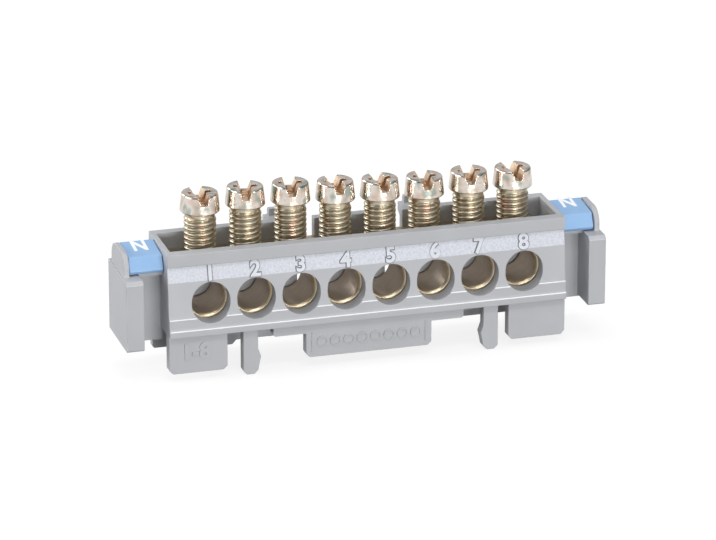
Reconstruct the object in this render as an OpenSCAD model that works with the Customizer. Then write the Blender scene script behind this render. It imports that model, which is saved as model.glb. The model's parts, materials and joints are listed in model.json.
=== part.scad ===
// Rail-clip terminal bar: a cross-drilled brass bar with eight clamping
// screws, seated in a moulded housing with a wire entry for each terminal,
// a clip-on foot below and a snap-on marker at each end.
//
// Frame: +X along the row of terminals, -Y the side where the wires go in,
// +Z up. The origin is the middle of the flat underside that sits on the
// support rail, right below the row of screws. All sizes are millimetres.

/* [Terminals] */
// Distance between neighbouring terminals
pitch = 7; // [6.8:0.1:9]
// Diameter of the wire bores through the brass bar
wire_bore_d = 5.2; // [5.1:0.1:5.4]
// Height of the wire bores' axis above the underside of the brass bar
wire_bore_rise = 4.1; // [3.8:0.1:4.6]
// Width of the countersink at each mouth of a wire bore
countersink = 0.35; // [0.2:0.05:0.5]

/* [Brass bar] */
// Width of the bar, along the wire bores
bar_w = 8; // [7:0.1:10]
// Height of the bar
bar_h = 9.5; // [9:0.1:12]
// Length of bar beyond the axis of the first and last terminal
bar_overhang = 4; // [3.2:0.1:6]
// Bevel along the long edges of the bar
bar_bevel = 0.3; // [0.1:0.05:0.6]

/* [Clamping screws] */
// Outer diameter of the screw thread
screw_d = 4.9; // [4.6:0.1:5]
// Diameter of the plain neck between head and thread
neck_d = 4.5; // [4:0.1:4.5]
// Length of the neck
neck_l = 0.7; // [0.3:0.1:1.2]
// Length of a screw below its head
screw_l = 9; // [8:0.1:10]
// Bevel round the tip of a screw
tip_bevel = 0.5; // [0.3:0.05:1]
// Distance between neighbouring turns of the thread
thread_pitch = 0.8; // [0.7:0.05:1]
// Depth of the thread
thread_depth = 0.4; // [0.25:0.05:0.45]
// Largest diameter of the head, at its lower rim
head_d = 6.1; // [5.9:0.1:6.6]
// Diameter of the flat top of the head
head_top_d = 5.4; // [4.8:0.1:5.6]
// Height of the head
head_h = 2.9; // [2.4:0.1:3.6]
// Bevel round the underside of the head
head_bevel = 0.15; // [0.05:0.05:0.4]
// Rounding round the top of the head
head_round = 0.1; // [0.05:0.05:0.15]
// Width of the driver slot at the top of the head
slot_top_w = 1.9; // [1.4:0.1:2.2]
// Width of the driver slot at its floor
slot_floor_w = 1; // [0.6:0.1:1.2]
// Depth of the driver slot
slot_depth = 1.45; // [1:0.05:1.7]
// Span of the cross recess
cross_span = 3.5; // [2.6:0.1:3.8]
// Depth of the cross recess
cross_depth = 2; // [1.8:0.1:2.2]

/* [Housing] */
// Thickness of the wall with the wire entries, at the rim
front_wall = 1.85; // [1.4:0.05:2.6]
// Thickness of the rear wall
rear_wall = 1.5; // [1.2:0.05:2.2]
// Thickness of the end walls of the trough
end_wall = 0.85; // [0.7:0.05:1.4]
// Thickness of the floor under the bar
floor_t = 0.75; // [0.6:0.05:1.5]
// Free length between the bar and the end walls
end_room = 1.7; // [0.6:0.1:2.5]
// Height of the rim above the top of the bar
rim_rise = 2.5; // [1.5:0.1:3.5]
// Ring of plastic left free round the brass countersink, at each entry
entry_margin = 0; // [-0.05:0.01:0.1]
// Extra height of a wire entry over its width
entry_stretch = 0.4; // [0:0.1:0.6]

/* [Front face] */
// Height of the plain band under the rim
band_h = 1.95; // [1.4:0.05:2.4]
// Height of the sloping label strip under the band
strip_h = 2.45; // [2:0.05:3]
// Depth of the label strip behind the band, at its upper edge
strip_recess = 0.5; // [0.2:0.05:0.8]
// How far the face leans forward between the label strip and the upper step
face_lean = 0.4; // [0.1:0.05:0.8]
// Height of the upper step above the underside
step_upper_z = 2.8; // [2.2:0.1:3]
// Height of the lower step above the underside
step_lower_z = 1.05; // [0.8:0.05:1.4]
// How far each step stands forward
step_out = 0.3; // [0.15:0.05:0.5]

/* [Clip foot] */
// Thickness of the front tabs and clip legs
tab_t = 1.8; // [1.2:0.1:2]
// Set-back of the front tabs behind the lower step
tab_setback = 0.75; // [0.4:0.05:1]
// Length of the tab at each end
end_tab_l = 9; // [6:0.1:10]
// Depth of the end tabs below the underside
end_tab_h = 5.95; // [4.5:0.05:7]
// Length of the middle tab
mid_tab_l = 19.7; // [14:0.1:24]
// Depth of the middle tab below the underside
mid_tab_h = 5.45; // [4:0.05:7]
// Length of the low rail that carries the middle tab
mid_rail_l = 29.9; // [26:0.1:32]
// Depth of that rail below the underside
mid_rail_h = 1.6; // [1:0.1:2.4]
// Distance of the clip legs from the middle
leg_x = 18.85; // [18:0.05:19.3]
// Offset of both clip legs towards +X
leg_offset = 0.4; // [0:0.05:0.6]
// Width of a clip leg
leg_w = 2.3; // [1.8:0.05:2.6]
// Length of the clip legs below the underside
leg_h = 7.2; // [6.8:0.1:9]
// How far the snap nose stands out of a clip leg
nose_out = 0.45; // [0.2:0.05:0.7]
// Depth of the rear skirt below the underside
skirt_h = 5.55; // [4.5:0.05:6.5]
// How far the rear stop reaches below the skirt
stop_h = 0.7; // [0.3:0.05:1]

/* [Rear wall] */
// Width of the two slots in the rear wall
rear_slot_w = 2.7; // [2:0.1:3.4]
// Distance of those slots from the middle
rear_slot_x = 6.95; // [6:0.05:7.2]
// Distance of the rear hooks from the middle
hook_x = 10.7; // [10.5:0.05:12]
// Length of a hook's shelf
shelf_l = 4; // [3.2:0.1:4.2]
// How far a hook's shelf stands behind the rear wall
shelf_out = 2.4; // [1.6:0.1:3.2]
// Thickness of a hook's shelf
shelf_t = 1.4; // [1:0.1:2]
// Width of a hook's lip
lip_w = 2.6; // [1.8:0.1:3]
// Height of a hook's lip above the shelf
lip_h = 1.2; // [0.8:0.1:1.6]
// Thickness of a hook's lip
lip_t = 1.2; // [0.8:0.1:1.4]

/* [End plates] */
// Length of the web between the trough and an end plate
web_l = 3.75; // [3:0.05:6]
// Distance from the screw row to the front of the web
web_front = 1.2; // [0.6:0.1:2.4]
// Depth of the web below the underside
web_drop = 2.05; // [1:0.05:3]
// Thickness of an end plate
plate_t = 2.7; // [1.8:0.1:3.6]
// Distance from the screw row to the front of an end plate
plate_front = 6.4; // [5:0.1:7]
// Distance from the screw row to the back of the webs and end plates
plate_back = 5; // [4.4:0.1:5.5]
// Depth of an end plate below the underside
plate_drop = 1.75; // [0.5:0.05:3]
// Bevel along the front edges of an end plate
plate_bevel = 0.5; // [0.2:0.05:0.8]
// Thickness of the arched shoulder beside a marker
shoulder_t = 0.8; // [0.6:0.05:1.2]
// Set-back of the shoulder's outer face from the end plate's
shoulder_setback = 0.3; // [0:0.05:0.6]
// Width of the shoulder
shoulder_w = 8.2; // [7:0.1:9]
// Height of the shoulder above the end plate
shoulder_h = 3.45; // [3:0.05:4.5]

/* [Markers] */
// Thickness of a snap-on marker
marker_t = 0.9; // [0.6:0.05:1.2]
// How far a marker's faces lie inside the shoulder's outline
marker_inset = 0.15; // [0.1:0.05:0.4]
// Height of a marker's aprons above the end plate
apron_rise = 0.2; // [0.1:0.05:0.5]
// How far the aprons lean in, from their foot to the fold above them
apron_lean = 0.9; // [0.5:0.05:1.1]
// Bevel under the foot of the aprons
apron_bevel = 0.5; // [0.2:0.05:0.6]
// How far a marker's top falls from its rear edge to the fold at the front
top_fall = 0.55; // [0.3:0.05:0.7]

/* [Clearances] */
// Gap between the bar and the walls and floor of its trough
bar_gap = 0.2; // [0.05:0.05:0.3]
// Radial gap between a screw and its tapped hole
screw_gap = 0.05; // [0.02:0.01:0.1]
// Gap between a marker and the housing round it
marker_gap = 0.1; // [0.05:0.05:0.2]

/* [Hidden] */

ways = 8;
// How high each screw stands above its fully tightened place
screw_lift = [4.7, 5, 4.9, 4.5, 4.2, 3.9, 4.1, 4];
// How far each screw's slot is turned from the wires' direction, in degrees
screw_turn = [0, -11, -9, 0, 1, -5, -9, 2];

$fn = 64;
grip = 0.5;                 // depth that joined forms share
cut = 1;                    // how far a cutting form reaches past a face

// Brass bar
bar_l = (ways - 1) * pitch + 2 * bar_overhang;
bar_z = floor_t + bar_gap / 2;
bar_top = bar_z + bar_h;
bore_z = bar_z + wire_bore_rise;
bore_mouth_d = wire_bore_d + 2 * countersink;

// Screws, measured along Z from the tip upward. A wire bore is wider than a
// screw, so a tightened screw goes down past its axis until it meets the wall.
thread_reach = sqrt(max(pow(wire_bore_d / 2, 2) - pow(screw_d / 2 + screw_gap, 2), 0));
tip_z = bore_z - thread_reach - tip_bevel;
head_z = screw_l;
head_low_r = head_d / 2;
head_high_r = head_top_d / 2 + head_round;
thread_low = tip_bevel;
thread_high = screw_l - neck_l - 0.2;
turns = floor((thread_high - thread_low) / thread_pitch);
crest_w = thread_pitch / 8;

// Trough
trough_w = bar_w + 2 * bar_gap;
trough_l = bar_l + 2 * end_room;
rim_z = bar_top + rim_rise;
rear_y = trough_w / 2 + rear_wall;
front_y = -trough_w / 2 - front_wall;
body_l = trough_l + 2 * end_wall;
entry_d = bore_mouth_d + 2 * entry_margin;

// Front face, from the rim down
strip_top_z = rim_z - band_h;
strip_low_z = strip_top_z - strip_h;
upper_y = front_y - face_lean;
lower_y = upper_y - step_out;
foot_y = lower_y - step_out;
step_rise = step_out * 0.7;

// Clip foot
tab_y = foot_y + tab_setback;
nose_mid = 0.62 * leg_h;
nose_half = 1.3;
corner = 0.6;

// End plates and shoulders
plate_x = body_l / 2 + web_l;
end_x = plate_x + plate_t;
shoulder_x = end_x - shoulder_setback - shoulder_t;
plate_top = rim_z - shoulder_h - 0.05;
shoulder_top = plate_top + shoulder_h;
shoulder_r = 2.4;

// Markers
marker_top = shoulder_top - marker_inset;
marker_w = shoulder_w - 2 * marker_inset;
apron_z = plate_top + apron_rise;

// Repeats its children at every terminal
module at_terminals() {
    for (i = [0 : ways - 1])
        translate([(i - (ways - 1) / 2) * pitch, 0, 0]) children();
}

// Repeats its children at both ends of the part
module both_ends() {
    for (side = [0, 1]) mirror([side, 0, 0]) children();
}

// Stands an outline drawn as [y, z] upright and runs it along X
module along_x(x0, length) {
    translate([x0, 0, 0]) rotate([90, 0, 90]) linear_extrude(height = length) children();
}

// Stands an outline drawn as [x, z] upright, from y0 back to y0 + depth
module facing_front(y0, depth) {
    translate([0, y0 + depth, 0]) rotate([90, 0, 0]) linear_extrude(height = depth) children();
}

// Cylinder along Y, from y0 to y1
module along_y(y0, y1, d) {
    translate([0, y1, 0]) rotate([90, 0, 0]) cylinder(h = y1 - y0, d = d);
}

// Arch outline: flat foot at z0, crown at z1, round upper corners
module arch(width, z0, z1, r) {
    intersection() {
        translate([-width / 2, z0]) square([width, z1 - z0]);
        union() {
            translate([-width / 2, z0]) square([width, max(z1 - z0 - r, 0)]);
            translate([-width / 2 + r, z0]) square([width - 2 * r, z1 - z0]);
            for (side = [-1, 1]) translate([side * (width / 2 - r), z1 - r]) circle(r = r);
        }
    }
}

// Outline of a marker, drawn smaller by an inset: leaning aprons, and a top
// that falls towards the front. The seat and the hollow inside follow it.
module marker_outline(inset, low_z, bevel = 0) {
    half = marker_w / 2 - inset;
    top = marker_top - inset;
    foot_z = apron_z + apron_bevel;
    fold = half - apron_lean;
    polygon([
        [-half + bevel * 0.7, low_z], [-half, foot_z], [-fold, top - top_fall],
        [fold - top_fall, top], [fold, top - top_fall / 2],
        [half, foot_z], [half - bevel * 0.7, low_z]
    ]);
}

// Plain tab hanging from z = 0 with bevelled lower corners
module tab_outline(x0, x1, depth, bevel) {
    polygon([
        [x0, grip], [x0, -depth + bevel], [x0 + bevel, -depth],
        [x1 - bevel, -depth], [x1, -depth + bevel], [x1, grip]
    ]);
}

// ---------------------------------------------------------------- housing

// Cross-section of the trough with its stepped front face
module trough_section() {
    polygon([
        [rear_y, 0], [rear_y, rim_z], [front_y, rim_z], [front_y, strip_top_z],
        [front_y + strip_recess, strip_top_z - 0.1], [front_y, strip_low_z],
        [upper_y, step_upper_z + step_rise], [lower_y, step_upper_z],
        [lower_y, step_lower_z + step_rise], [foot_y, step_lower_z], [foot_y, 0]
    ]);
}

// Obround wire entry through the front wall
module wire_entry() {
    shift = entry_stretch / 2;
    for (side = [-1, 1])
        translate([0, 0, bore_z + side * shift]) along_y(foot_y - cut, 0, entry_d);
    translate([-entry_d / 2, foot_y - cut, bore_z - shift])
        cube([entry_d, cut - foot_y, 2 * shift]);
}

// Clip leg with its snap nose towards the middle of the part
module clip_leg(toward) {
    half = leg_w / 2;
    bevel = corner;
    mirror([toward > 0 ? 0 : 1, 0, 0]) polygon([
        [-half, grip], [-half, -leg_h + bevel], [-half + bevel, -leg_h],
        [half - bevel, -leg_h], [half, -leg_h + bevel],
        [half + nose_out * 0.6, -nose_mid - nose_half * 0.6],
        [half + nose_out, -nose_mid], [half, -nose_mid + nose_half], [half, grip]
    ]);
}

// Everything that hangs below the front of the trough
module front_foot() {
    facing_front(tab_y, tab_t) {
        for (side = [0, 1]) mirror([side, 0])
            tab_outline(body_l / 2 - end_tab_l, body_l / 2, end_tab_h, corner);
        tab_outline(-mid_rail_l / 2, mid_rail_l / 2, mid_rail_h, corner / 2);
        tab_outline(-mid_tab_l / 2, mid_tab_l / 2, mid_tab_h, corner);
        for (side = [-1, 1])
            translate([side * leg_x + leg_offset, 0]) clip_leg(-side);
    }
}

// Skirt below the rear wall, with the stop behind the left clip leg
module rear_skirt() {
    stop_x = -leg_x - 1.4;
    facing_front(rear_y - rear_wall, rear_wall) {
        tab_outline(-body_l / 2, body_l / 2, skirt_h, corner / 2);
        translate([stop_x, 0]) tab_outline(-leg_w, leg_w, skirt_h + stop_h, stop_h * 0.9);
    }
}

// Hook behind the rear wall: a shelf flush with the rim and an upright lip
module rear_hook() {
    shelf_y = rear_y + shelf_out;
    along_x(hook_x - shelf_l / 2, shelf_l) polygon([
        [rear_y - grip, rim_z], [shelf_y, rim_z], [shelf_y, rim_z - shelf_t],
        [rear_y, rim_z - shelf_t - shelf_out / 2], [rear_y - grip, rim_z - shelf_t]
    ]);
    along_x(hook_x - lip_w / 2, lip_w) polygon([
        [shelf_y - lip_t, rim_z - grip], [shelf_y - lip_t, rim_z + lip_h],
        [shelf_y - lip_t / 4, rim_z + lip_h], [shelf_y, rim_z + lip_h / 2],
        [shelf_y, rim_z - grip]
    ]);
}

// Web, end plate, arched shoulder and marker seat at the +X end
module end_block() {
    inner_x = body_l / 2 - grip / 2;
    along_x(inner_x, plate_x - inner_x + grip)
        translate([-web_front, -web_drop]) square([web_front + plate_back, web_drop + plate_top]);
    along_x(plate_x, plate_t) polygon([
        [plate_back, -plate_drop], [plate_back, plate_top],
        [-plate_front + plate_bevel, plate_top], [-plate_front, plate_top - plate_bevel],
        [-plate_front, -plate_drop + plate_bevel / 2], [-plate_front + plate_bevel / 2, -plate_drop]
    ]);
    along_x(shoulder_x, shoulder_t) arch(shoulder_w, plate_top - grip, shoulder_top, shoulder_r);
    along_x(inner_x, shoulder_x - inner_x + shoulder_t / 2)
        marker_outline(marker_t + marker_gap, plate_top - grip);
}

module housing() {
    color("darkgray") difference() {
        union() {
            along_x(-body_l / 2, body_l) trough_section();
            front_foot();
            rear_skirt();
            both_ends() rear_hook();
            both_ends() end_block();
        }
        translate([-trough_l / 2, -trough_w / 2, floor_t])
            cube([trough_l, trough_w, rim_z + cut]);
        at_terminals() wire_entry();
        both_ends() translate([rear_slot_x - rear_slot_w / 2, trough_w / 2 - cut, 2 * floor_t])
            cube([rear_slot_w, rear_wall + 2 * cut, rim_z]);
    }
}

// ----------------------------------------------------------- terminal bar

// Countersink at the mouth of a wire bore, opening towards -Y at y = 0
module bore_mouth() {
    rotate([90, 0, 0]) rotate_extrude() polygon([
        [0, -countersink], [wire_bore_d / 2, -countersink], [bore_mouth_d / 2, 0],
        [bore_mouth_d / 2, cut], [0, cut]
    ]);
}

module terminal_bar() {
    color("goldenrod") difference() {
        along_x(-bar_l / 2, bar_l) polygon([
            [-bar_w / 2 + bar_bevel, bar_z], [bar_w / 2 - bar_bevel, bar_z],
            [bar_w / 2, bar_z + bar_bevel], [bar_w / 2, bar_top - bar_bevel],
            [bar_w / 2 - bar_bevel, bar_top], [-bar_w / 2 + bar_bevel, bar_top],
            [-bar_w / 2, bar_top - bar_bevel], [-bar_w / 2, bar_z + bar_bevel]
        ]);
        at_terminals() {
            translate([0, 0, bore_z]) along_y(-bar_w / 2 - cut, bar_w / 2 + cut, wire_bore_d);
            for (side = [0, 1]) mirror([0, side, 0])
                translate([0, -bar_w / 2, bore_z]) bore_mouth();
            translate([0, 0, bore_z]) cylinder(h = bar_top, d = screw_d + 2 * screw_gap);
        }
    }
}

// -------------------------------------------------------- clamping screws

// Half outline of a screw about its axis, tip at the bottom. The thread is
// drawn as plain rings of its true pitch and depth.
module screw_outline() {
    crest = screw_d / 2;
    root = crest - thread_depth;
    rings = [for (i = [0 : turns - 1], step = [
        [crest, 0], [crest, crest_w], [root, thread_pitch / 2 + crest_w / 2]
    ]) [step[0], thread_low + i * thread_pitch + step[1]]];
    polygon(concat(
        [[0, 0], [crest - tip_bevel, 0]], rings, [
            [crest, thread_high], [neck_d / 2, head_z - neck_l], [neck_d / 2, head_z],
            [head_low_r - head_bevel, head_z], [head_low_r, head_z + head_bevel],
            [(head_low_r + head_high_r) / 2 - head_bevel / 4, head_z + head_h / 2],
            [head_high_r, head_z + head_h - 2 * head_round],
            [head_top_d / 2, head_z + head_h], [0, head_z + head_h]
        ]
    ));
}

// Driver slot with leaning flanks and a cross recess in the slot's floor
module driver_recess() {
    top_z = head_z + head_h;
    translate([0, head_d / 2 + cut, 0]) rotate([90, 0, 0])
        linear_extrude(height = head_d + 2 * cut) polygon([
            [-slot_floor_w / 2, top_z - slot_depth], [slot_floor_w / 2, top_z - slot_depth],
            [slot_top_w / 2, top_z], [slot_top_w / 2, top_z + cut],
            [-slot_top_w / 2, top_z + cut], [-slot_top_w / 2, top_z]
        ]);
    for (turn = [0, 90]) rotate([0, 0, turn])
        translate([-cross_span / 2, -slot_floor_w / 2, top_z - 0.8 * cross_depth])
            cube([cross_span, slot_floor_w, cross_depth]);
    translate([0, 0, top_z - cross_depth]) cylinder(h = cross_depth + cut, d = 0.5 * cross_span);
}

// Clamping screw number n, standing backed out of its tapped hole
module clamping_screw(n) {
    color("khaki")
        translate([(n - 1 - (ways - 1) / 2) * pitch, 0, tip_z + screw_lift[n - 1]])
        rotate([0, 0, screw_turn[n - 1]]) difference() {
            rotate_extrude() screw_outline();
            driver_recess();
        }
}

// ---------------------------------------------------------------- markers

// Snap-on marker over the seat at the +X end
module marker() {
    x0 = body_l / 2 + marker_gap;
    color("cornflowerblue") along_x(x0, shoulder_x - marker_gap - x0) difference() {
        marker_outline(0, apron_z, apron_bevel);
        marker_outline(marker_t, apron_z - cut);
    }
}

module marker_right() {
    marker();
}

module marker_left() {
    mirror([1, 0, 0]) marker();
}

housing();
terminal_bar();
clamping_screw(1);  // screw_1
clamping_screw(2);  // screw_2
clamping_screw(3);  // screw_3
clamping_screw(4);  // screw_4
clamping_screw(5);  // screw_5
clamping_screw(6);  // screw_6
clamping_screw(7);  // screw_7
clamping_screw(8);  // screw_8
marker_left();
marker_right();
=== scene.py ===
"""Looks of the clip-on terminal bar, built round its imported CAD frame.

Lengths are millimetres and pass through MM on their way into Blender, which
works in metres. Only the stage is written in metres. The row runs along X, the
wires go in from -Y, and Z is up. Places come from the frame's boxes and mounts,
and where the frame has none they follow the sizes of the part's source.
"""

import json
import math

import bmesh
import bpy
from mathutils import Matrix, Vector


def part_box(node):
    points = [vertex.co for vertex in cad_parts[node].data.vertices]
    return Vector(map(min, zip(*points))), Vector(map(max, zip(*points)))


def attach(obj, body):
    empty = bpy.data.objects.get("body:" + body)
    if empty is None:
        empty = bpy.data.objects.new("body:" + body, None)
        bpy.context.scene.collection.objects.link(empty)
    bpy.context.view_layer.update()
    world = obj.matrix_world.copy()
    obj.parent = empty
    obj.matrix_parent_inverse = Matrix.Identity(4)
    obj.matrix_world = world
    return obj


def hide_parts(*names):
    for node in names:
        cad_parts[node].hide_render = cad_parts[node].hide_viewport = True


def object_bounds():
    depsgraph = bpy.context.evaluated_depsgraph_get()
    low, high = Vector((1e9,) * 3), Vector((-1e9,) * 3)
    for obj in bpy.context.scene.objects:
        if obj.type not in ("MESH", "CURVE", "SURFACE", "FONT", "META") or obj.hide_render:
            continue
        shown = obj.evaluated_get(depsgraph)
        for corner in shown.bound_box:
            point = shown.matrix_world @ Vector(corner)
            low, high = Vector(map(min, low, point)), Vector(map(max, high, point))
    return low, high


MM = 0.001
BLOCK = "block"
DIGITS = "12345678"
MARKERS = ("marker_left", "marker_right")
RIGHT = Vector((1, 0, 0))
UP = Vector((0, 0, 1))
# How far a cutter reaches past what it cuts
OVERCUT = 1.0

# Camera: its place, its tilt and turn in degrees, and its lens
CAMERA_PLACE = (-196.2, -676.5, 265.1)
CAMERA_TILT = 69.76
CAMERA_TURN = -16.18
CAMERA_LENS = 249.35
CAMERA_NEAR = 10.0
SENSOR_W = 36.0

# Soft edges, and the angle in degrees from which an edge is softened
HOUSING_EDGE = 0.09
MARKER_EDGE = 0.12
BAR_EDGE = 0.05
SHARP_ANGLE = 24.0
EDGE_SEGMENTS = 2
FLAT_WEIGHT = 100
# CAD vertices nearer than WELD become one, and so do faces within FLAT_ANGLE degrees
WELD = 0.0015
FLAT_ANGLE = 0.6
# Faces of the bar this little outside a bore still belong to its wall
BORE_SLACK = 0.02

# Shank, from the screw's axis and its tip. A sharpness over 1 gives broad crests
THREAD_CREST_R = 2.45
THREAD_DEPTH = 0.42
THREAD_PITCH = 0.8
THREAD_SHARPNESS = 2.6
THREAD_SIDES = 64
THREAD_ROWS_PER_PITCH = 14
SHANK_L = 9.0
NECK_R = 2.25
NECK_L = 0.7
TIP_BEVEL = 0.5

# Head, which goes HEAD_SINK into the shank. HEAD_TOP_R is the flat top's radius,
# inside its rounded edge, and ARC_STEPS the number of steps along that edge
HEAD_R = 3.05
HEAD_TOP_R = 2.58
HEAD_H = 2.9
HEAD_BEVEL = 0.15
HEAD_ROUND = 0.22
HEAD_EDGE = 0.05
HEAD_SHARP_ANGLE = 32
HEAD_SIDES = 96
HEAD_SINK = 0.02
ARC_STEPS = 6
SLOT_TOP_W = 1.8
SLOT_FLOOR_W = 1.0
SLOT_DEPTH = 1.45
CROSS_SPAN = 3.5
CROSS_DEPTH = 2.0
# Depth of the cross's arms, as a share of the depth of the well in their middle
CROSS_SHARE = 0.8
WELL_SIDES = 32
# Faces this far below the top and inside its radius take the recess's finish
RECESS_BELOW = 0.15
RECESS_INSIDE = 0.1
# How far each screw's slot is turned from the wires' direction, in degrees
SCREW_TURN = (0, -11, -9, 0, 1, -5, -9, 2)

# Label strip: upper and lower edge of the sloping face, as (y, z). STRIP_MATCH is the
# cosine between the slope's direction and that of a face that belongs to it
STRIP_TOP = (-5.55, 10.80)
STRIP_LOW = (-6.05, 8.45)
STRIP_MATCH = 0.995

# Rounded edges of the front step, which carry a painted highlight: their heights, how far
# above or below one a face may lie, and the y and z of the direction it faces
STEP_EDGE_Z = (2.8, 1.05)
STEP_EDGE_H = 0.07
STEP_EDGE_FRONT = -0.5
STEP_EDGE_UP = (0.2, 0.75)

# Type is extruded this far to each side and then scaled. Strokes widen it, in its own units
TYPE_EXTRUDE = 0.5

# Numbers on the strip: a pale face, and round it a wider and lower dark outline of painted shade
DIGIT_H = 2.5
DIGIT_STROKE = 0.03
DIGIT_RELIEF = 0.16
DIGIT_SHIFT = -0.05
DIGIT_SHADE_WIDENING = 0.045
DIGIT_SHADE_GROWTH = 0.2
DIGIT_SHADE_RELIEF = 0.05

# Letters on the markers, whose tops rise from the fold to the ridge, as (y, z)
MARKER_FOLD = (-3.05, 12.10)
MARKER_RIDGE = (2.50, 12.65)
LETTER = "N"
LETTER_W = 2.2
LETTER_H = 3.6
LETTER_Y = {"marker_left": 0.8, "marker_right": 1.35}
LETTER_STROKE = 0.03
LETTER_RELIEF = 0.03

# Relief on the tabs: numbers on the left one, rings between two rules on the middle one
TAB_Y = -6.3
TAB_RELIEF = 0.16
LEFT_TAB_NUMBERS = "1-8"
LEFT_TAB_CENTRE = (-26.7, -2.5)
LEFT_TAB_H = 2.6
RING_Z = -3.0
RING_PITCH = 2.1
RING_R = 0.75
RING_SIDES = 32
RULE_X = 8.9
RULE_H = 3.2
TAB_LINE = 0.2

# Colours, each a darker and a paler tone or several that drift into each other
GREY_TONES = ((0.425, 0.434, 0.452), (0.462, 0.468, 0.486))
STRIP_TONES = ((0.50, 0.52, 0.57), (0.66, 0.68, 0.74))
BLUE_TONES = ((0.260, 0.440, 0.705), (0.295, 0.480, 0.745))
WHITE_TONES = ((0.86, 0.88, 0.90), (0.93, 0.94, 0.95))
BRASS_TONES = ((0.46, 0.38, 0.26), (0.58, 0.49, 0.34), (0.68, 0.59, 0.43))
# Brass of the bore walls, painted paler than the bar as light that reaches into them
BORE_PAINTED_LIGHT_TONES = ((0.56, 0.46, 0.36), (0.80, 0.68, 0.55))
HEAD_TONES = ((0.38, 0.40, 0.35), (0.70, 0.66, 0.60), (0.66, 0.53, 0.45), (0.36, 0.40, 0.35))
THREAD_TONES = ((0.36, 0.27, 0.18), (0.53, 0.46, 0.34), (0.45, 0.41, 0.31), (0.50, 0.36, 0.27))
RECESS_TONES = ((0.52, 0.36, 0.24), (0.86, 0.68, 0.50))
# Pale grey of the painted highlight on the front step's edges
STEP_HIGHLIGHT_TONE = (0.84, 0.85, 0.87)
DIGIT_TONE = (0.62, 0.64, 0.69)
# Dark grey of the painted shade round the numbers
DIGIT_SHADE_TONE = (0.13, 0.13, 0.15)
PALER = 1.08
# How far the plating is smoother or rougher than its roughness, from place to place
ZINC_SMOOTHER = 0.05
ZINC_ROUGHER = 0.07
# Most of a noise texture's values lie in this span above this low value
NOISE_LOW = 0.30
NOISE_SPAN = 0.40

# Stage, in metres and watts. The sky's light grows between two (height, strength) pairs
SKY_TINT = (0.97, 0.98, 1.0)
SKY_FROM = (-0.1, 0.10)
SKY_TO = (0.75, 0.50)
FLOOR_REACH = 3.0
FLOOR_TONE = (0.9, 0.9, 0.9)
FLOOR_ROUGHNESS = 0.9
FLOOR_GLOW = 1.06
FLOOR_GLOW_SHARE = 0.8
LAMP_AIM = (0, 0, 0.005)
# Name, place, size and power of each lamp
LAMPS = (
    ("key", (0.06, -0.75, 0.05), (0.40, 0.09), 3.1),
    ("side", (-0.75, -0.02, 0.20), (0.60, 0.36), 2.4),
    ("fill", (0.50, -0.55, 0.10), (0.10, 0.40), 0.6),
    ("high", (0.0, -0.40, 0.66), (0.6, 0.12), 1.5),
    ("top", (0.0, 0.05, 0.80), (0.5, 0.2), 1.3),
    ("back", (-0.48, 0.56, 0.26), (0.4, 0.3), 2.4),
    ("sheen", (0.20, 0.70, 0.27), (0.8, 0.3), 0.3),
)

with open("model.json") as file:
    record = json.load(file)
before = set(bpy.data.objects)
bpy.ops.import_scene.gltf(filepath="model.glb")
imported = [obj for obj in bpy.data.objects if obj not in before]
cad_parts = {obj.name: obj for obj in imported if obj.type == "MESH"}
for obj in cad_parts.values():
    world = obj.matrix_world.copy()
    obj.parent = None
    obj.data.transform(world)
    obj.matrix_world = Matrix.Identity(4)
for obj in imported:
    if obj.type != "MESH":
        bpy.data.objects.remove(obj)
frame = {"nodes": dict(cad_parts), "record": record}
cad_low, cad_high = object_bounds()
mounts = frame["record"]["mounts"]
wires = [m for m in mounts if m["name"].startswith("wire_")]
terminal_x = [m["pos_m"][0] / MM for m in wires]
bore_z = wires[0]["pos_m"][2] / MM
bore_r = wires[0]["dims"]["r_mm"]
bore_reach = wires[0]["dims"]["length_mm"] / 2


# ------------------------------------------------------------------ meshes

def link(name, mesh):
    """A new object for a mesh, in the scene."""
    obj = bpy.data.objects.new(name, mesh)
    bpy.context.scene.collection.objects.link(obj)
    return obj


def as_mesh(name, made):
    """The mesh of a bmesh, which is freed."""
    mesh = bpy.data.meshes.new(name)
    made.to_mesh(mesh)
    made.free()
    return mesh


def evaluated_mesh(obj):
    """A mesh of obj as its modifiers or its type settings make it."""
    bpy.context.view_layer.update()
    graph = bpy.context.evaluated_depsgraph_get()
    return bpy.data.meshes.new_from_object(obj.evaluated_get(graph))


def baked(obj):
    """obj with its modifiers applied to its mesh."""
    mesh = evaluated_mesh(obj)
    obj.modifiers.clear()
    obj.data = mesh
    return obj


def coat(obj, *materials):
    """Gives obj these materials and no other."""
    obj.data.materials.clear()
    for material in materials:
        obj.data.materials.append(material)


def soften(obj, width, angle=SHARP_ANGLE, curved=False):
    """Rounds the sharp edges of obj. Large faces stay flat, unless the form is curved."""
    for polygon in obj.data.polygons:
        polygon.use_smooth = True
    bevel = obj.modifiers.new("edge", "BEVEL")
    bevel.width = width * MM
    bevel.segments = EDGE_SEGMENTS
    bevel.limit_method = "ANGLE"
    bevel.angle_limit = math.radians(angle)
    bevel.use_clamp_overlap = False
    bevel.miter_outer = "MITER_ARC"
    if curved:
        bevel.harden_normals = True
    else:
        flat = obj.modifiers.new("flat faces", "WEIGHTED_NORMAL")
        flat.mode = "FACE_AREA"
        flat.weight = FLAT_WEIGHT
    return baked(obj)


def dressed(node, name, edge):
    """A copy of a CAD node with merged flat faces and softened edges, standing for it."""
    made = bmesh.new()
    made.from_mesh(frame["nodes"][node].data)
    bmesh.ops.remove_doubles(made, verts=made.verts, dist=WELD * MM)
    bmesh.ops.dissolve_limit(
        made, angle_limit=math.radians(FLAT_ANGLE), verts=made.verts, edges=made.edges
    )
    obj = soften(link(name, as_mesh(name, made)), edge)
    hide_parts(node)
    return obj


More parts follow.
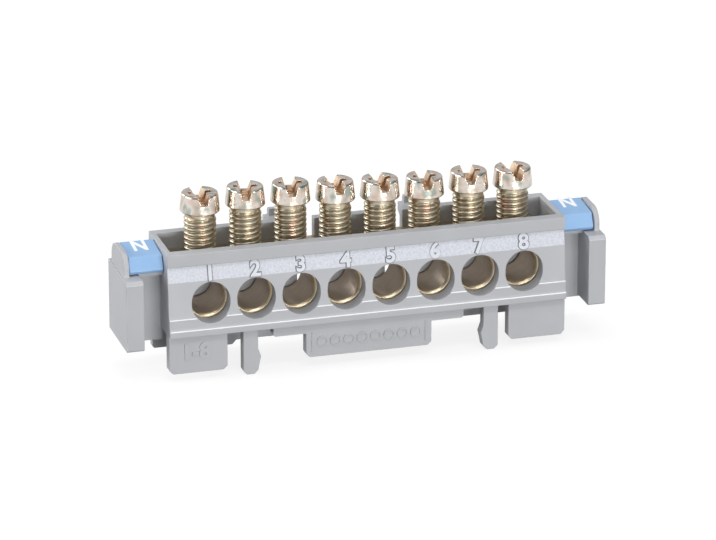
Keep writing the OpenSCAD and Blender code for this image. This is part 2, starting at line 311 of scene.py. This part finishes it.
def ring(made, height, radii):
    """Vertices round Z at a height, one for each radius."""
    verts = []
    for i, radius in enumerate(radii):
        turn = 2 * math.pi * i / len(radii)
        x, y = radius * math.cos(turn), radius * math.sin(turn)
        verts.append(made.verts.new((x * MM, y * MM, height * MM)))
    return verts


def bridge(made, low, high):
    """Faces between two rings, either of which may be a single vertex on the axis."""
    sides = max(len(low), len(high))
    for i in range(sides):
        j = (i + 1) % sides
        if len(low) == 1:
            made.faces.new((low[0], high[j], high[i]))
        elif len(high) == 1:
            made.faces.new((low[i], low[j], high[0]))
        else:
            made.faces.new((low[i], low[j], high[j], high[i]))


def lathe(name, profile, sides):
    """A solid turned about Z from (radius, height) points that start and end on the axis."""
    made = bmesh.new()
    rings = []
    for radius, height in profile:
        radii = [radius] * sides if radius else [0]
        rings.append(ring(made, height, radii))
    for low, high in zip(rings, rings[1:]):
        bridge(made, low, high)
    return link(name, as_mesh(name, made))


def prism(name, outline, y0, y1):
    """A solid with an outline drawn as (x, z), from y0 back to y1."""
    made = bmesh.new()
    front = [made.verts.new((x * MM, y0 * MM, z * MM)) for x, z in outline]
    back = [made.verts.new((x * MM, y1 * MM, z * MM)) for x, z in outline]
    made.faces.new(front)
    made.faces.new(back[::-1])
    for i in range(len(outline)):
        j = (i + 1) % len(outline)
        made.faces.new((front[j], front[i], back[i], back[j]))
    bmesh.ops.recalc_face_normals(made, faces=made.faces)
    return link(name, as_mesh(name, made))


def cut_away(obj, cutters):
    """Subtracts the cutters from obj and removes them."""
    for cutter in cutters:
        step = obj.modifiers.new("cut", "BOOLEAN")
        step.object = cutter
        step.solver = "EXACT"
    baked(obj)
    for cutter in cutters:
        bpy.data.objects.remove(cutter)
    return obj


def joined(name, objects):
    """One object made of several, with their materials."""
    made = bmesh.new()
    materials = []
    for obj in objects:
        for material in obj.data.materials:
            if material not in materials:
                materials.append(material)
        slots = [materials.index(m) for m in obj.data.materials]
        first = len(made.faces)
        obj.data.transform(obj.matrix_world)
        made.from_mesh(obj.data)
        made.faces.ensure_lookup_table()
        for face in made.faces[first:]:
            face.material_index = slots[min(face.material_index, len(slots) - 1)]
    mesh = as_mesh(name, made)
    for material in materials:
        mesh.materials.append(material)
    for obj in objects:
        bpy.data.objects.remove(obj)
    return link(name, mesh)


# --------------------------------------------------------------- materials

class Finish:
    """A procedural material: a Principled shader and the nodes that feed it."""

    def __init__(self, name, roughness, metallic=0.0, specular=0.5):
        self.material = bpy.data.materials.new(name)
        self.material.use_nodes = True
        self.nodes = self.material.node_tree.nodes
        self.links = self.material.node_tree.links
        self.shader = self.nodes["Principled BSDF"]
        self.shader.inputs["Roughness"].default_value = roughness
        self.shader.inputs["Metallic"].default_value = metallic
        self.shader.inputs["Specular IOR Level"].default_value = specular
        self.place = self.nodes.new("ShaderNodeTexCoord").outputs["Object"]
        self.relief = None

    def noise(self, size, detail=3.0, stretch=(1, 1, 1)):
        """Noise whose grains are about size millimetres across, longer where stretch is small."""
        scale = self.nodes.new("ShaderNodeMapping")
        scale.inputs["Scale"].default_value = stretch
        self.links.new(self.place, scale.inputs["Vector"])
        made = self.nodes.new("ShaderNodeTexNoise")
        made.inputs["Scale"].default_value = 1 / (size * MM)
        made.inputs["Detail"].default_value = detail
        self.links.new(scale.outputs["Vector"], made.inputs["Vector"])
        return made.outputs["Fac"]

    def colours(self, factor, places, tones):
        """Colours the surface by a factor, with a tone at each place along it."""
        ramp = self.nodes.new("ShaderNodeValToRGB")
        elements = ramp.color_ramp.elements
        while len(elements) < len(tones):
            elements.new(0.5)
        for element, place, tone in zip(elements, places, tones):
            element.position = place
            element.color = (*tone, 1)
        self.links.new(factor, ramp.inputs["Fac"])
        self.links.new(ramp.outputs["Color"], self.shader.inputs["Base Color"])
        return self

    def uneven(self, factor, low, high):
        """Lets the roughness vary between low and high with a factor."""
        span = self.nodes.new("ShaderNodeMapRange")
        span.inputs["From Min"].default_value = NOISE_LOW
        span.inputs["From Max"].default_value = NOISE_LOW + NOISE_SPAN
        span.inputs["To Min"].default_value = low
        span.inputs["To Max"].default_value = high
        self.links.new(factor, span.inputs["Value"])
        self.links.new(span.outputs["Result"], self.shader.inputs["Roughness"])
        return self

    def bump(self, factor, height):
        """Adds relief of a height in millimetres to the relief there is."""
        made = self.nodes.new("ShaderNodeBump")
        made.inputs["Distance"].default_value = height * MM
        self.links.new(factor, made.inputs["Height"])
        if self.relief:
            self.links.new(self.relief, made.inputs["Normal"])
        self.relief = made.outputs["Normal"]
        self.links.new(self.relief, self.shader.inputs["Normal"])
        return self


def moulded_plastic():
    """Grey plastic, slightly rippled, with a fine grain."""
    made = Finish("moulded_grey_plastic", roughness=0.46, specular=0.4)
    made.colours(made.noise(size=7.0), (0.25, 0.75), GREY_TONES)
    grain = made.noise(size=0.14)
    made.uneven(grain, low=0.40, high=0.54)
    made.bump(made.noise(size=2.2), height=0.012)
    return made.bump(grain, height=0.006).material


def label_strip_plastic():
    """The same plastic with a coarse, pale texture."""
    made = Finish("textured_label_strip", roughness=0.52)
    speckle = made.noise(size=0.32, detail=4.0)
    made.colours(speckle, (0.32, 0.66), STRIP_TONES)
    made.uneven(speckle, low=0.36, high=0.60)
    return made.bump(speckle, height=0.03).material


def plain_grey(name, tone):
    """Plastic in one grey tone."""
    made = Finish(name, roughness=0.5, specular=0.4)
    drift = made.noise(size=0.8)
    made.colours(drift, (0.3, 0.7), (tone, [PALER * part for part in tone]))
    return made.bump(drift, height=0.004).material


def marker_plastic():
    """Satin blue plastic."""
    made = Finish("blue_marker_plastic", roughness=0.34)
    made.colours(made.noise(size=3.0), (0.25, 0.75), BLUE_TONES)
    made.bump(made.noise(size=0.5), height=0.008)
    return made.bump(made.noise(size=0.12), height=0.004).material


def white_print():
    """Matt white ink."""
    made = Finish("white_print", roughness=0.5, specular=0.3)
    made.colours(made.noise(size=0.4), (0.2, 0.8), WHITE_TONES)
    return made.bump(made.noise(size=0.2), height=0.003).material


def machined_brass():
    """Brass with streaks along the bar."""
    made = Finish("machined_brass", roughness=0.34, metallic=1.0)
    streaks = made.noise(size=0.25, stretch=(0.06, 1, 1))
    made.colours(made.noise(size=1.6), (0.2, 0.55, 0.85), BRASS_TONES)
    made.uneven(streaks, low=0.26, high=0.44)
    return made.bump(streaks, height=0.006).material


def drilled_brass_painted_light():
    """Brass with the drill's rings across the bore's axis, and painted light in its paler tones.
    """
    made = Finish("drilled_brass_painted_light", roughness=0.36, metallic=0.8)
    rings = made.noise(size=0.16, stretch=(0.08, 1, 0.08))
    made.colours(rings, (0.25, 0.75), BORE_PAINTED_LIGHT_TONES)
    made.uneven(rings, low=0.28, high=0.48)
    return made.bump(rings, height=0.012).material


def zinc(name, tones, roughness, dents):
    """Yellow zinc plating, with a colour that drifts as it does on passivated steel."""
    made = Finish(name, roughness, metallic=1.0)
    places = [NOISE_LOW + NOISE_SPAN * i / (len(tones) - 1) for i in range(len(tones))]
    made.colours(made.noise(size=2.0, detail=1.0), places, tones)
    smoother, rougher = roughness - ZINC_SMOOTHER, roughness + ZINC_ROUGHER
    made.uneven(made.noise(size=0.9), low=smoother, high=rougher)
    return made.bump(made.noise(size=1.1, detail=1.0), height=dents).material


GREY = moulded_plastic()
STRIP = label_strip_plastic()
# Paler plastic that paints a highlight along the front step's edges
STEP_HIGHLIGHT = plain_grey("painted_step_highlight", STEP_HIGHLIGHT_TONE)
DIGIT_FACE = plain_grey("digit_face", DIGIT_TONE)
# Dark plastic that paints the shade round the raised numbers
DIGIT_SHADE = plain_grey("digit_edge", DIGIT_SHADE_TONE)
BLUE = marker_plastic()
WHITE = white_print()
BRASS = machined_brass()
# Drilled brass with painted light, for the walls of the bores
BORE_BRASS_AND_LIGHT = drilled_brass_painted_light()
ZINC_HEAD = zinc("zinc_head", HEAD_TONES, roughness=0.17, dents=0.05)
ZINC_THREAD = zinc("zinc_thread", THREAD_TONES, roughness=0.32, dents=0.006)
ZINC_RECESS = zinc("zinc_recess", RECESS_TONES, roughness=0.40, dents=0.03)


# ----------------------------------------------------------------- housing

def on_strip(polygon):
    """Whether a face of the housing lies on the label strip's slope."""
    run, rise = STRIP_TOP[0] - STRIP_LOW[0], STRIP_TOP[1] - STRIP_LOW[1]
    facing = Vector((0, -rise, run)).normalized()
    centre = polygon.center / MM
    within = STRIP_LOW[1] < centre.z < STRIP_TOP[1] and centre.y < STRIP_TOP[0]
    return within and polygon.normal.dot(facing) > STRIP_MATCH


def on_step_edge(polygon):
    """Whether a face of the housing lies on a front step edge that gets a painted highlight."""
    z = polygon.center.z / MM
    near = any(abs(z - edge_z) < STEP_EDGE_H for edge_z in STEP_EDGE_Z)
    low, high = STEP_EDGE_UP
    return near and polygon.normal.y < STEP_EDGE_FRONT and low < polygon.normal.z < high


def make_housing():
    """The housing, with its label strip and a painted highlight along its front step's edges."""
    shell = dressed("housing", "housing_shell", HOUSING_EDGE)
    coat(shell, GREY, STRIP, STEP_HIGHLIGHT)
    # The strip's faces get their own plastic, and the front step's edges a painted highlight
    for polygon in shell.data.polygons:
        if on_strip(polygon):
            polygon.material_index = 1
        elif on_step_edge(polygon):
            polygon.material_index = 2
        else:
            polygon.material_index = 0
    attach(shell, BLOCK)


# --------------------------------------------------------------- lettering

def raised(name, body, height, depth, stroke, place, up, material, width=None):
    """Numbers or a letter as raised relief about a place, upright along up.

    Without a width it keeps the proportions of the type.
    """
    curve = bpy.data.curves.new(name, "FONT")
    curve.body = body
    curve.offset = stroke
    curve.extrude = TYPE_EXTRUDE
    flat = link(name + "_type", curve)
    mesh = evaluated_mesh(flat)
    bpy.data.objects.remove(flat)
    xs = [v.co.x for v in mesh.vertices]
    ys = [v.co.y for v in mesh.vertices]
    scale_y = height / (max(ys) - min(ys))
    scale_x = width / (max(xs) - min(xs)) if width else scale_y
    middle = Vector(((max(xs) + min(xs)) / 2, (max(ys) + min(ys)) / 2, 0))
    up = up.normalized()
    axes = Matrix((RIGHT, up, RIGHT.cross(up))).transposed()
    for vertex in mesh.vertices:
        local = vertex.co - middle
        scaled = (local.x * scale_x, local.y * scale_y, local.z / TYPE_EXTRUDE * depth)
        vertex.co = (axes @ Vector(scaled) + Vector(place)) * MM
    mesh.materials.append(material)
    return link(name, mesh)


def make_digits():
    """The plain terminal numbers on the label strip, each in a dark outline of painted shade."""
    low, top = Vector((0, *STRIP_LOW)), Vector((0, *STRIP_TOP))
    up = (top - low).normalized()
    centre = top - up * (DIGIT_H / 2)
    shade_stroke, shade_h = DIGIT_STROKE + DIGIT_SHADE_WIDENING, DIGIT_H + DIGIT_SHADE_GROWTH
    layers = (
        ("digit_", DIGIT_H, DIGIT_RELIEF, DIGIT_STROKE, DIGIT_FACE),
        ("digit_edge_", shade_h, DIGIT_SHADE_RELIEF, shade_stroke, DIGIT_SHADE),
    )
    for digit, x in zip(DIGITS, terminal_x):
        place = centre + Vector((x + DIGIT_SHIFT, 0, 0))
        for name, height, depth, stroke, material in layers:
            made = raised(name + digit, digit, height, depth, stroke, place, up, material)
            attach(made, BLOCK)


def circle(x, z, radius):
    """Points (x, z) round a centre."""
    points = []
    for side in range(RING_SIDES):
        turn = 2 * math.pi * side / RING_SIDES
        points.append((x + radius * math.cos(turn), z + radius * math.sin(turn)))
    return points


def tab_ring(name, x):
    """A raised ring on the middle tab."""
    front, back = TAB_Y - TAB_RELIEF, TAB_Y + TAB_RELIEF
    disc = prism(name, circle(x, RING_Z, RING_R + TAB_LINE / 2), front, back)
    inner = circle(x, RING_Z, RING_R - TAB_LINE / 2)
    cut_away(disc, [prism("hole", inner, front - OVERCUT, back + OVERCUT)])
    coat(disc, GREY)
    return disc


def tab_rule(name, x):
    """A raised upright line on the middle tab."""
    x0, x1 = x - TAB_LINE / 2, x + TAB_LINE / 2
    z0, z1 = RING_Z - RULE_H / 2, RING_Z + RULE_H / 2
    outline = [(x0, z0), (x1, z0), (x1, z1), (x0, z1)]
    rule = prism(name, outline, TAB_Y - TAB_RELIEF, TAB_Y + TAB_RELIEF)
    coat(rule, GREY)
    return rule


def make_tab_relief():
    """Plain numbers on the left tab, and on the middle tab a ring for each terminal."""
    x, z = LEFT_TAB_CENTRE
    place = (x, TAB_Y, z)
    pieces = [
        raised(
            "left_tab_numbers", LEFT_TAB_NUMBERS, LEFT_TAB_H, TAB_RELIEF, DIGIT_STROKE,
            place, UP, GREY,
        )
    ]
    reach = RING_PITCH * (len(DIGITS) - 1) / 2
    for i in range(len(DIGITS)):
        pieces.append(tab_ring(f"ring_{i}", i * RING_PITCH - reach))
    for side in (-1, 1):
        pieces.append(tab_rule(f"rule_{side}", side * RULE_X))
    relief = joined("tab_relief", pieces)
    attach(relief, BLOCK)


# ----------------------------------------------------------------- markers

def make_marker(node):
    """A blue marker and the letter on its sloping top."""
    clip = dressed(node, node + "_clip", MARKER_EDGE)
    coat(clip, BLUE)
    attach(clip, BLOCK)
    low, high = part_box(node)
    fold, ridge = Vector((0, *MARKER_FOLD)), Vector((0, *MARKER_RIDGE))
    along = ridge - fold
    place = fold + along * (LETTER_Y[node] - fold.y) / along.y
    place.x = (low.x + high.x) / 2 / MM
    letter = raised(
        node + "_letter", LETTER, LETTER_H, LETTER_RELIEF, LETTER_STROKE,
        place, along, WHITE, width=LETTER_W,
    )
    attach(letter, BLOCK)


# --------------------------------------------------------------------- bar

def in_bore(polygon):
    """Whether a face of the bar belongs to the wall of a wire bore."""
    centre = polygon.center / MM
    off_axis = min(math.hypot(centre.x - x, centre.z - bore_z) for x in terminal_x)
    return off_axis < bore_r + BORE_SLACK and abs(centre.y) < bore_reach


def make_bar():
    """The brass bar, with drill rings and painted light on the walls of its wire bores."""
    bar = dressed("terminal_bar", "cross_drilled_bar", BAR_EDGE)
    coat(bar, BRASS, BORE_BRASS_AND_LIGHT)
    for polygon in bar.data.polygons:
        polygon.material_index = 1 if in_bore(polygon) else 0
    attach(bar, BLOCK)


# ------------------------------------------------------------------ screws

def thread_radius(turn, height):
    """Radius of the shank at an angle (in turns) and a height above the tip."""
    phase = (height / THREAD_PITCH - turn) % 1.0
    off_crest = abs(phase - 0.5) * 2
    radius = THREAD_CREST_R - THREAD_DEPTH * off_crest ** THREAD_SHARPNESS
    if height < TIP_BEVEL:
        radius = min(radius, THREAD_CREST_R - TIP_BEVEL + height)
    neck_at = SHANK_L - NECK_L
    run_out = THREAD_PITCH / 2
    share = min(max((height - neck_at + run_out) / run_out, 0), 1)
    return radius + (NECK_R - radius) * share


def make_shank(name):
    """Threaded shank with a bevelled tip and a plain neck, tip at z = 0."""
    rows = round(SHANK_L / THREAD_PITCH * THREAD_ROWS_PER_PITCH)
    made = bmesh.new()
    turns = [side / THREAD_SIDES for side in range(THREAD_SIDES)]
    rings = []
    for row in range(rows + 1):
        height = SHANK_L * row / rows
        rings.append(ring(made, height, [thread_radius(turn, height) for turn in turns]))
    for low, high in zip(rings, rings[1:]):
        bridge(made, low, high)
    made.faces.new(rings[0][::-1])
    made.faces.new(rings[-1])
    mesh = as_mesh(name, made)
    for polygon in mesh.polygons:
        polygon.use_smooth = len(polygon.vertices) == 4
    mesh.materials.append(ZINC_THREAD)
    return link(name, mesh)


def arc_turns():
    """Angles of the points along a rounded edge, a quarter turn in all."""
    return [math.pi / 2 * step / ARC_STEPS for step in range(ARC_STEPS + 1)]


def head_profile():
    """Half outline of a head: a sharp lower rim, sides that taper upward and a soft top edge."""
    top = SHANK_L + HEAD_H
    rise = 2 * HEAD_ROUND
    points = [
        (0, SHANK_L - HEAD_SINK),
        (HEAD_R - HEAD_BEVEL, SHANK_L - HEAD_SINK),
        (HEAD_R, SHANK_L + HEAD_BEVEL),
    ]
    for turn in arc_turns():
        radius = HEAD_TOP_R + HEAD_ROUND * math.cos(turn)
        points.append((radius, top - rise + rise * math.sin(turn)))
    return points + [(0, top)]


def slot_outline():
    """Outline of the driver slot's cutter: leaning flanks that end in rounded shoulders."""
    top = SHANK_L + HEAD_H
    half = [(SLOT_FLOOR_W / 2, top - SLOT_DEPTH)]
    for turn in arc_turns():
        out = HEAD_ROUND * (1 - math.cos(turn))
        half.append((SLOT_TOP_W / 2 + out, top - HEAD_ROUND * (1 - math.sin(turn))))
    half.append((SLOT_TOP_W / 2 + HEAD_ROUND, top + OVERCUT))
    return half + [(-x, z) for x, z in half[::-1]]


def cross_arm(turn):
    """Cutter of one arm of the cross recess, turned by an angle in degrees."""
    top = SHANK_L + HEAD_H
    span, half = CROSS_SPAN / 2, SLOT_FLOOR_W / 2
    floor, over = top - CROSS_SHARE * CROSS_DEPTH, top + OVERCUT
    outline = [(-span, floor), (span, floor), (span, over), (-span, over)]
    arm = prism("arm", outline, -half, half)
    arm.data.transform(Matrix.Rotation(math.radians(turn), 4, "Z"))
    return arm


def cross_well():
    """Cutter of the round well in the middle of the cross recess."""
    top = SHANK_L + HEAD_H
    radius = CROSS_SPAN / 4
    floor, over = top - CROSS_DEPTH, top + OVERCUT
    return lathe("well", [(0, floor), (radius, floor), (radius, over), (0, over)], WELL_SIDES)


def make_head(name):
    """Head with a driver slot that has leaning flanks, and a cross in the slot's floor."""
    head = lathe(name, head_profile(), HEAD_SIDES)
    slot = prism("slot", slot_outline(), -HEAD_R - OVERCUT, HEAD_R + OVERCUT)
    cutters = [slot, cross_arm(0), cross_arm(90), cross_well()]
    coat(head, ZINC_HEAD, ZINC_RECESS)
    cut_away(head, cutters)
    low, high = SHANK_L + HEAD_BEVEL, SHANK_L + HEAD_H - RECESS_BELOW
    for polygon in head.data.polygons:
        centre = polygon.center / MM
        inside = math.hypot(centre.x, centre.y) < HEAD_TOP_R - RECESS_INSIDE
        polygon.material_index = 1 if inside and low < centre.z < high else 0
    return soften(head, HEAD_EDGE, angle=HEAD_SHARP_ANGLE, curved=True)


def make_screw(number):
    """A clamping screw at its terminal, with its tip where the CAD screw's is."""
    node = f"screw_{number}"
    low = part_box(node)[0]
    turn = math.radians(SCREW_TURN[number - 1])
    screw = joined(node + "_threaded", [make_shank("shank"), make_head("head")])
    place = Matrix.Translation((terminal_x[number - 1] * MM, 0, low.z))
    screw.data.transform(place @ Matrix.Rotation(turn, 4, "Z"))
    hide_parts(node)
    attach(screw, f"clamp_{number}")


# ------------------------------------------------------------------- stage

def seen_by_camera(tree):
    """1 for rays that carry the floor to the camera, straight, reflected or let through."""
    path = tree.nodes.new("ShaderNodeLightPath")
    most = path.outputs["Is Camera Ray"]
    for other in ("Is Glossy Ray", "Is Transmission Ray"):
        higher = tree.nodes.new("ShaderNodeMath")
        higher.operation = "MAXIMUM"
        tree.links.new(most, higher.inputs[0])
        tree.links.new(path.outputs[other], higher.inputs[1])
        most = higher.outputs[0]
    return most


def make_world():
    """A pale sky that lights the part, seen by the camera as plain white."""
    world = bpy.data.worlds.new("studio")
    bpy.context.scene.world = world
    world.use_nodes = True
    tree = world.node_tree
    tree.nodes.clear()
    place = tree.nodes.new("ShaderNodeTexCoord")
    parts = tree.nodes.new("ShaderNodeSeparateXYZ")
    rise = tree.nodes.new("ShaderNodeMapRange")
    rise.inputs["From Min"].default_value = SKY_FROM[0]
    rise.inputs["From Max"].default_value = SKY_TO[0]
    rise.inputs["To Min"].default_value = SKY_FROM[1]
    rise.inputs["To Max"].default_value = SKY_TO[1]
    tree.links.new(place.outputs["Generated"], parts.inputs["Vector"])
    tree.links.new(parts.outputs["Z"], rise.inputs["Value"])
    light = tree.nodes.new("ShaderNodeBackground")
    light.inputs["Color"].default_value = (*SKY_TINT, 1)
    tree.links.new(rise.outputs["Result"], light.inputs["Strength"])
    white = tree.nodes.new("ShaderNodeBackground")
    white.inputs["Color"].default_value = (1, 1, 1, 1)
    white.inputs["Strength"].default_value = 1.0
    mix = tree.nodes.new("ShaderNodeMixShader")
    out = tree.nodes.new("ShaderNodeOutputWorld")
    path = tree.nodes.new("ShaderNodeLightPath")
    tree.links.new(path.outputs["Is Camera Ray"], mix.inputs["Fac"])
    tree.links.new(light.outputs["Background"], mix.inputs[1])
    tree.links.new(white.outputs["Background"], mix.inputs[2])
    tree.links.new(mix.outputs["Shader"], out.inputs["Surface"])


def make_lamp(name, place, size, power):
    """An area lamp that looks at the part."""
    lamp = bpy.data.lights.new(name, "AREA")
    lamp.shape = "RECTANGLE"
    lamp.size, lamp.size_y = size
    lamp.energy = power
    obj = bpy.data.objects.new(name, lamp)
    bpy.context.scene.collection.objects.link(obj)
    obj.location = place
    toward = Vector(LAMP_AIM) - Vector(place)
    obj.rotation_euler = toward.to_track_quat("-Z", "Y").to_euler()


def floor_finish():
    """A matt floor that takes the part's shadow and otherwise looks white."""
    finish = bpy.data.materials.new("pale_floor")
    finish.use_nodes = True
    tree = finish.node_tree
    shader = tree.nodes["Principled BSDF"]
    shader.inputs["Base Color"].default_value = (*FLOOR_TONE, 1)
    shader.inputs["Roughness"].default_value = FLOOR_ROUGHNESS
    shader.inputs["Specular IOR Level"].default_value = 0.0
    glow = tree.nodes.new("ShaderNodeEmission")
    glow.inputs["Color"].default_value = (1, 1, 1, 1)
    shine = tree.nodes.new("ShaderNodeMath")
    shine.operation = "MULTIPLY"
    shine.inputs[1].default_value = FLOOR_GLOW
    tree.links.new(seen_by_camera(tree), shine.inputs[0])
    tree.links.new(shine.outputs[0], glow.inputs["Strength"])
    level = tree.nodes.new("ShaderNodeMixShader")
    level.inputs["Fac"].default_value = FLOOR_GLOW_SHARE
    tree.links.new(shader.outputs["BSDF"], level.inputs[1])
    tree.links.new(glow.outputs["Emission"], level.inputs[2])
    tree.links.new(level.outputs["Shader"], tree.nodes["Material Output"].inputs["Surface"])
    return finish


def make_floor(height):
    """The floor, at a height in metres."""
    signs = ((-1, -1), (1, -1), (1, 1), (-1, 1))
    corners = [(x * FLOOR_REACH, y * FLOOR_REACH, height) for x, y in signs]
    mesh = bpy.data.meshes.new("floor")
    mesh.from_pydata(corners, [], [(0, 1, 2, 3)])
    mesh.materials.append(floor_finish())
    floor = link("floor", mesh)


def make_camera():
    """The camera of the scene."""
    data = bpy.data.cameras.new("camera")
    data.sensor_fit = "HORIZONTAL"
    data.sensor_width = SENSOR_W
    data.lens = CAMERA_LENS
    data.clip_start = CAMERA_NEAR * MM
    camera = bpy.data.objects.new("camera", data)
    bpy.context.scene.collection.objects.link(camera)
    camera.location = [v * MM for v in CAMERA_PLACE]
    camera.rotation_euler = (math.radians(CAMERA_TILT), 0, math.radians(CAMERA_TURN))
    bpy.context.scene.camera = camera


make_housing()
make_digits()
make_tab_relief()
make_bar()
for marker_node in MARKERS:
    make_marker(marker_node)
for screw_number in range(1, len(DIGITS) + 1):
    make_screw(screw_number)

make_world()
make_floor(cad_low.z)
for lamp_name, lamp_place, lamp_size, lamp_power in LAMPS:
    make_lamp(lamp_name, lamp_place, lamp_size, lamp_power)
make_camera()
bpy.context.scene.view_settings.view_transform = "Standard"
